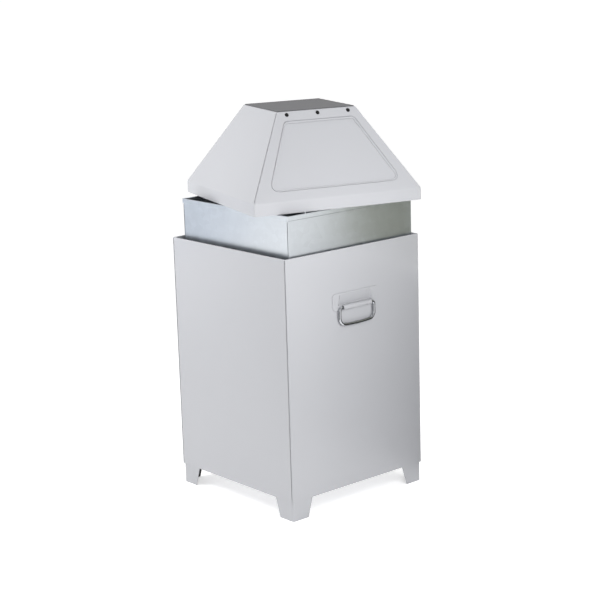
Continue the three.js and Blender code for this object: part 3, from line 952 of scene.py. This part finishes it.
class CAN_OT_handles(Operator):
    """Press a handle plate with its bead, bend a wire bail and put a pair on the front and back"""

    bl_idname = "can.handles"
    bl_label = "Drop handles"

    def execute(self, context):
        sizes = context.scene.can_handle
        half = (SHELL_HIGH.x - SHELL_LOW.x) / 2
        plate = self.press_plate(sizes, half)
        bail = self.bend_bail(sizes, half)
        for turns, side in ((0, "front"), (2, "back")):
            place = can_frame() @ Matrix.Rotation(turns * math.pi / 2, 4, "Z")
            twin = copy_piece(plate, f"{side}_handle_plate", place)
            complete(twin, "shell", "grey_powder_coat", f"handle_plate_{side}")
            twin = copy_piece(bail, f"{side}_bail", place)
            complete(twin, f"bail_{side}", "plated_wire", f"bail_{side}")
        for pattern in (plate, bail):
            bpy.data.objects.remove(pattern)
        return {"FINISHED"}

    def rod(self, name, radius, half, centre):
        add = bpy.ops.mesh.primitive_cylinder_add
        turn = (0, math.pi / 2, 0)
        return new_piece(
            name, add, vertices=32, radius=radius, depth=2 * half, location=centre, rotation=turn
        )

    def press_plate(self, sizes, wall):
        """The plate, its sunk tray and the bead along its lower edge, as one pressing."""
        gap, sheet, edge = 0.3 * MM, 1.2 * MM, 0.35 * MM
        back = -wall - gap
        face = back - sheet
        plate = block("plate", (-sizes.half, sizes.half), (face, back), (sizes.low, sizes.high))
        thin = lambda edge: not near(edge.verts[0].co.y, edge.verts[1].co.y)
        with editing(plate):
            pick("edges", thin)
            round_off(sizes.corner, 6)
            pick("edges", both_ends(lambda co: near(co.y, face)))
            round_off(edge, 2)
        carve(plate, self.wedge("pan", sizes, face, sheet), "UNION")
        carve(plate, self.wedge("tray", sizes, face, 0))
        pivot = -wall - sizes.out
        for radius, half, how in (
            (sizes.bead, sizes.bead_half, "UNION"),
            (sizes.bore, sizes.bead_half + 1 * MM, "DIFFERENCE"),
        ):
            reach = face if how == "UNION" else face - 0.1 * MM
            rod = self.rod("bead", radius, half, (0, pivot, sizes.axis))
            z = (sizes.axis - radius, sizes.axis + radius)
            carve(rod, block("web", (-half, half), (pivot, reach + 0.1 * MM), z), "UNION")
            carve(plate, rod, how)
        smooth(plate)
        return plate

    def wedge(self, name, sizes, face, skin):
        """The sunk tray, deepest along its lower edge. With a skin it is the metal round it."""
        draft, narrow, fold = 3 * MM, 5 * MM, 1.5 * MM
        half, deep = sizes.tray_half + skin, sizes.tray_deep + skin
        low, high = sizes.tray_low - skin, sizes.tray_high + skin
        back = face + deep
        wedge = block(name, (-half, half), (face - (0 if skin else MM), back), (low, high))
        with editing(wedge):
            pick("verts", lambda vertex: near(vertex.co.y, back) and near(vertex.co.z, high))
            bpy.ops.transform.translate(value=(0, skin - deep + 0.2 * MM, 0))
            pick("verts", lambda vertex: vertex.co.y > face + 0.1 * MM)
            stretch(((half - draft) / half, 1, 1), (0, face, low))
            pick("verts", lambda vertex: near(vertex.co.z, high))
            stretch(((half - narrow) / half, 1, 1), (0, face, high))
            thin = lambda co: near(co.z, low) and co.y > face + 2 * MM
            pick("edges", both_ends(thin))
            round_off(fold, 3)
        return wedge

    def bend_bail(self, sizes, wall):
        """Half the bail is bent from straight wire, from its end in the bead, and then mirrored."""
        depth = -wall - sizes.out
        ear, corner, sweep = 6.5 * MM, 15 * MM, math.radians(4.7)
        leg = sizes.bail_half
        ring = {"vertices": 20, "radius": sizes.wire, "rotation": (0, math.pi / 2, 0)}
        start = (-sizes.bail_end, depth, sizes.axis)
        bail = new_piece("bail", bpy.ops.mesh.primitive_circle_add, location=start, **ring)
        low = sizes.axis - sizes.bail_drop
        grip_radius = (leg - corner * (1 - math.sin(sweep))) / math.sin(sweep)
        grip_drop = grip_radius * (1 - math.cos(sweep))
        corner_height = low + grip_drop + corner * math.cos(sweep)

        def turn(x, z, by, steps):
            swing((x, depth, z), by, steps, (0, 1, 0))

        with editing(bail):
            pick_all()
            grow((ear - leg - start[0], 0, 0))
            turn(ear - leg, sizes.axis - ear, -math.pi / 2, 8)
            grow((0, 0, corner_height - sizes.axis + ear))
            turn(corner - leg, corner_height, sweep - math.pi / 2, 12)
            turn(0, low + grip_radius, -sweep, 8)
        modify(bail, "MIRROR", use_clip=True, use_mirror_merge=True, merge_threshold=0.05 * MM)
        with editing(bail):
            pick_all()
            bpy.ops.mesh.remove_doubles(threshold=TINY)
            for side in (-1, 1):
                pick("edges", lambda edge: edge.is_boundary and edge.verts[0].co.x * side > 0)
                bpy.ops.mesh.edge_face_add()
            look_outwards()
        smooth(bail, 50)
        return bail


# ---- Stage ----
class CAN_OT_stage(Operator):
    """Lay the pale floor, hang the soft lights and set the camera"""

    bl_idname = "can.stage"
    bl_label = "Stage"

    def execute(self, context):
        self.lay_floor(context.scene.can_colours.floor)
        self.light_world()
        left, front, back = SHELL_LOW.x, SHELL_LOW.y, SHELL_HIGH.y
        across, along = (0, math.pi / 2, 0), (math.pi / 2, 0, 0)
        right = SHELL_HIGH.x + 0.04
        black, olive, slate = (0.02, 0.02, 0.02), (0.2, 0.205, 0.165), (0.6, 0.63, 0.68)
        cards = [
            ("right_flag", across, (1, 0.3, 0.3), (right, front - 0.17, 0.66), olive),
            ("foot_flag", across, (1, 0.4, 0.48), (right, front - 0.21, 0.25), black),
            ("left_flag", across, (1, 0.5, 0.28), (left - 0.55, front - 0.3, 0.24), black),
            ("back_flag", along, (0.3, 1, 0.26), (left - 0.16, back + 0.12, 0.64), slate),
        ]
        flags = [self.stand_flag(*card) for card in cards]
        self.hang_lights(flags)
        self.set_camera(context.scene.can_stage)
        context.scene.view_settings.view_transform = "Standard"
        return {"FINISHED"}

    def lay_floor(self, base):
        """Opal acrylic lit from behind, so it looks even and white, with only a soft shadow."""
        floor = new_piece("studio_floor", bpy.ops.mesh.primitive_plane_add, size=80)
        material, _, shader, _ = new_material("opal_acrylic_floor", base, Roughness=0.9)
        shader.inputs["Emission Color"].default_value = (1, 1, 1, 1)
        shader.inputs["Emission Strength"].default_value = 0.52
        floor.data.materials.append(material)

    def light_world(self):
        """A white room that is brightest near the horizon and dimmer overhead."""
        world = bpy.data.worlds.new("soft_white_room")
        world.use_nodes = True
        background = world.node_tree.nodes["Background"]
        background.inputs["Color"].default_value = (1, 1, 1, 1)
        tree = world.node_tree
        direction = add_node(tree, "ShaderNodeTexCoord").outputs["Object"]
        height = add_node(tree, "ShaderNodeSeparateXYZ", {"Vector": direction}).outputs["Z"]
        fall = {"Value": height, "From Min": 0.2, "From Max": 0.4, "To Min": 1.0, "To Max": 0.5}
        strength = add_node(tree, "ShaderNodeMapRange", fall).outputs["Result"]
        tree.links.new(strength, background.inputs["Strength"])
        bpy.context.scene.world = world

    def hang_lights(self, flags):
        """Each light: its name, its place, its size in metres and its power in watts."""
        lights = [
            ("left_softbox", (-0.9, 0.45, 1.05), 0.5, 7.5),
            ("front_softbox", (-0.25, -0.9, 0.78), 0.5, 5.4),
            ("top_softbox", (0.1, -0.2, 2.2), 0.8, 9),
        ]
        unblocked = bpy.data.collections.new("flags")
        for flag in flags:
            unblocked.objects.link(flag)
        for item in unblocked.collection_objects:
            item.light_linking.link_state = "EXCLUDE"
        for name, place, size, power in lights:
            light = bpy.data.lights.new(name, "AREA")
            light.shape = "SQUARE"
            light.size = size
            light.energy = power
            holder = bpy.data.objects.new(name, light)
            holder.location = place
            aim = Vector((CAN_AXIS.x, CAN_AXIS.y, 0.5)) - Vector(place)
            holder.rotation_euler = aim.to_track_quat("-Z", "Y").to_euler()
            holder.visible_camera = False
            holder.visible_glossy = name.startswith("top")
            holder.light_linking.blocker_collection = unblocked
            bpy.context.scene.collection.objects.link(holder)

    def stand_flag(self, name, turn, size, middle, base):
        """A felt card, out of the camera's sight, takes the light off one part of the can."""
        card = new_piece(name, bpy.ops.mesh.primitive_plane_add, size=1, rotation=turn)
        with editing(card):
            pick_all()
            stretch(size, (0, 0, 0))
            bpy.ops.transform.translate(value=middle)
        material = new_material("wool_felt", base, Roughness=1.0)[0]
        card.data.materials.append(material)
        card.visible_camera = False
        return card

    def set_camera(self, stage):
        """Azimuth 0 looks along +Y, and the roll turns the camera about its own line of sight."""
        azimuth, elevation, roll = stage.azimuth, stage.elevation, stage.roll
        flat = math.cos(elevation)
        ahead = Vector((-math.sin(azimuth) * flat, math.cos(azimuth) * flat, -math.sin(elevation)))
        right = Vector((math.cos(azimuth), math.sin(azimuth), 0))
        up = right.cross(ahead)
        across = right * math.cos(roll) + up * math.sin(roll)
        upward = up * math.cos(roll) - right * math.sin(roll)
        target = Vector((CAN_AXIS.x, CAN_AXIS.y, stage.aim_height)) + right * stage.aim_side
        data = bpy.data.cameras.new("camera")
        data.lens = stage.lens
        camera = bpy.data.objects.new("camera", data)
        turn = Matrix((across, upward, -ahead)).transposed().to_4x4()
        camera.matrix_world = Matrix.Translation(target - ahead * stage.distance) @ turn
        bpy.context.scene.collection.objects.link(camera)
        bpy.context.scene.camera = camera


PIECES = (
    CAN_OT_shell,
    CAN_OT_feet,
    CAN_OT_handles,
    CAN_OT_liner,
    CAN_OT_hood,
    CAN_OT_flap,
    CAN_OT_hinge,
    CAN_OT_stage,
)


class CAN_PT_sidebar(Panel):
    """Lists the can's pieces and their sizes"""

    bl_label = "Waste can"
    bl_idname = "CAN_PT_sidebar"
    bl_space_type = "VIEW_3D"
    bl_region_type = "UI"
    bl_category = "Waste can"

    def draw(self, context):
        for operator in PIECES:
            self.layout.operator(operator.bl_idname)
        for name in GROUPS:
            box = self.layout.box()
            sizes = getattr(context.scene, name)
            for key in sizes.bl_rna.properties.keys():
                if key not in ("rna_type", "name"):
                    box.prop(sizes, key)


def register():
    for name, group in GROUPS.items():
        bpy.utils.register_class(group)
        setattr(bpy.types.Scene, name, PointerProperty(type=group))
    for cls in (*PIECES, CAN_PT_sidebar):
        bpy.utils.register_class(cls)


def unregister():
    for cls in (CAN_PT_sidebar, *reversed(PIECES)):
        bpy.utils.unregister_class(cls)
    for name, group in GROUPS.items():
        delattr(bpy.types.Scene, name)
        bpy.utils.unregister_class(group)


def main():
    register()
    for operator in PIECES:
        family, name = operator.bl_idname.split(".")
        getattr(getattr(bpy.ops, family), name)()


if __name__ == "__main__":
    main()
